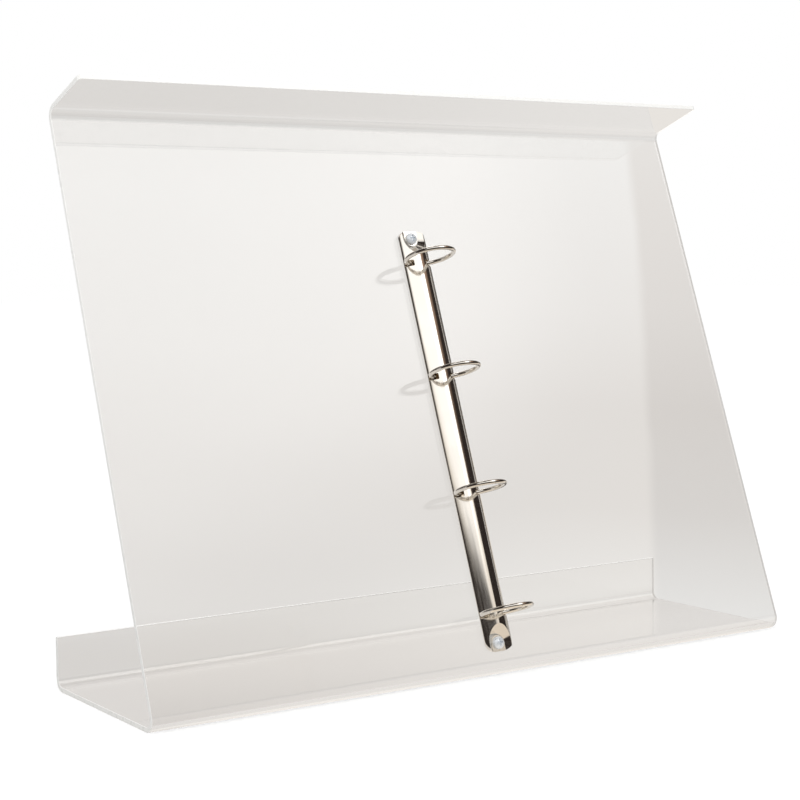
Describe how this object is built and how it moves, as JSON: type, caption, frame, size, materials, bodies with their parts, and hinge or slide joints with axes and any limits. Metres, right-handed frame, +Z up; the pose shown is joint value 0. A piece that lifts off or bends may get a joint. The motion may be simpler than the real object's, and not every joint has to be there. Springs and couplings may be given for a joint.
{
  "type": "document holder",
  "caption": "Clear bent-sheet desk stand with a leaning panel, top hood, rear lip and a plated ring mechanism that opens to hold punched pages.",
  "frame": {"origin": "middle of the base's underside, where the stand rests on a desk", "axes": "+X to the right along the stand's width, +Y to the rear, +Z up"},
  "size_m": [0.494, 0.1585, 0.3795],
  "materials": {
    "acrylic": "clear, polished",
    "nickel": "bright nickel plate",
    "zinc": "bright zinc plate"
  },
  "bodies": {
    "stand": {"acrylic_stand": "acrylic", "cover_plate": "nickel", "upper_screw": "zinc", "upper_washer": "zinc", "upper_nut": "zinc", "lower_screw": "zinc", "lower_washer": "zinc", "lower_nut": "zinc"},
    "left_leaf_set": {"left_leaf": "nickel", "left_ring_half_1": "nickel", "left_ring_half_2": "nickel", "left_ring_half_3": "nickel", "left_ring_half_4": "nickel"},
    "right_leaf_set": {"right_leaf": "nickel", "right_ring_half_1": "nickel", "right_ring_half_2": "nickel", "right_ring_half_3": "nickel", "right_ring_half_4": "nickel"}
  },
  "joints": [
    {"name": "left_leaf_swing", "type": "hinge", "parent": "stand", "child": "left_leaf_set", "pos_m": [-0.00925, -0.01604, 0.15134], "axis": [0, -0.3404, -0.9403], "range_deg": [0, 20]},
    {"name": "right_leaf_swing", "type": "hinge", "parent": "stand", "child": "right_leaf_set", "pos_m": [0.00925, -0.01604, 0.15134], "axis": [0, 0.3404, 0.9403], "range_deg": [0, 20]}
  ],
  "couplings": [
    {"joint": "right_leaf_swing", "follows": "left_leaf_swing", "ratio": 1}
  ]
}
